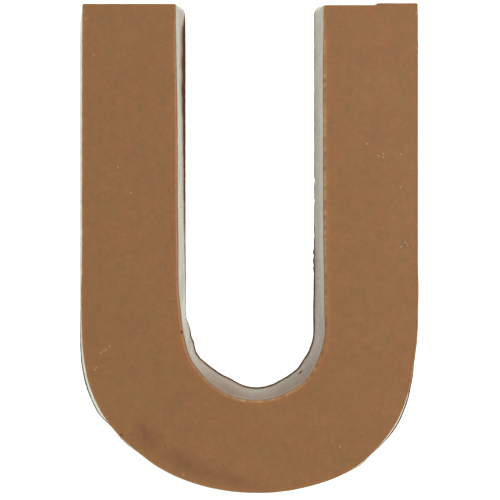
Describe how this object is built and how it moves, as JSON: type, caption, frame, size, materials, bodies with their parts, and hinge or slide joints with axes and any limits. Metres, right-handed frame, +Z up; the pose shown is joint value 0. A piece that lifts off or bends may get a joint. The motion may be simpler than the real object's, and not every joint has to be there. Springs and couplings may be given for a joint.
{
  "type": "chocolate letter",
  "caption": "Moulded milk-chocolate capital letter U: a solid block with a smooth satin face, walls that slope out to the back and a thin ledge of flash round the back edge.",
  "frame": {"origin": "centre of the letter's outline on the surface that it lies on", "axes": "+Y along the letter's height, from the bend to the open top; +X across it, to the reader's right; +Z up, out of the smooth front face"},
  "size_m": [0.1072, 0.1544, 0.014],
  "materials": {
    "milk_chocolate": "satin face, glossier walls"
  },
  "bodies": {
    "root": {"letter_u": "milk_chocolate"}
  },
  "joints": []
}
